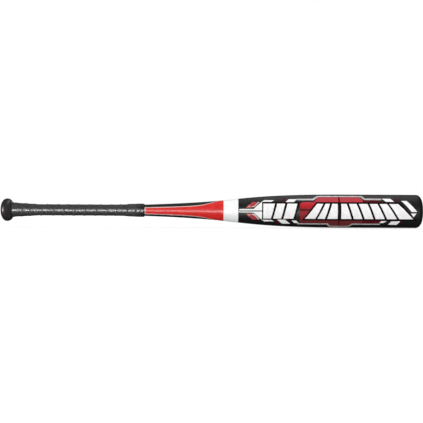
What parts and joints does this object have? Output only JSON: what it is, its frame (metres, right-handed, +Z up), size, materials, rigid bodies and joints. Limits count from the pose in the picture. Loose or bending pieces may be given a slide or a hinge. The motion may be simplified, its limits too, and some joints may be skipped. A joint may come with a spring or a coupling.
{
  "type": "baseball bat",
  "caption": "Two-piece baseball bat: wrapped composite handle with a knob, joined through a collar and an elastomer sleeve to a hollow alloy barrel with a moulded end cap.",
  "frame": {"origin": "middle of the knob's end face", "axes": "+X along the bat's long axis to the barrel end, +Z up, and the printed face towards -Y; the printed panels are centred on -Y and again on +Y"},
  "size_m": [0.8382, 0.0666, 0.0666],
  "materials": {
    "knob_moulding": "moulded polyurethane, dark grey, satin",
    "badge_disc": "blank dark disc, satin",
    "handle_lacquer": "black lacquer over carbon composite, with a red printed panel",
    "foam": "closed-cell foam, pale grey",
    "cone_foam": "soft moulded foam, black",
    "grip_wrap": "cushioned synthetic leather tape, dark grey, fine pores",
    "finish_tape": "thin vinyl tape, black, low sheen",
    "collar_moulding": "white moulded ring, gloss",
    "isolator_elastomer": "black elastomer",
    "centring_ring": "moulded nylon, dark grey",
    "barrel_alloy": "satin black paint with red and white print on aluminium alloy",
    "cap_moulding": "moulded cap, near black, satin",
    "bond": "cast urethane bond, grey",
    "weight_steel": "turned steel disc"
  },
  "bodies": {
    "root": {"knob": "knob_moulding", "knob_badge": "badge_disc", "handle_tube": "handle_lacquer", "handle_butt_plug": "foam", "handle_front_plug": "foam", "grip_taper_cone": "cone_foam", "grip_wrap": "grip_wrap", "grip_finish_tape": "finish_tape", "transition_collar": "collar_moulding", "isolator_sleeve": "isolator_elastomer", "joint_centring_ring": "centring_ring", "barrel_shell": "barrel_alloy", "end_cap": "cap_moulding", "end_cap_bond_ring": "bond", "end_cap_balance_weight": "weight_steel"}
  },
  "joints": []
}
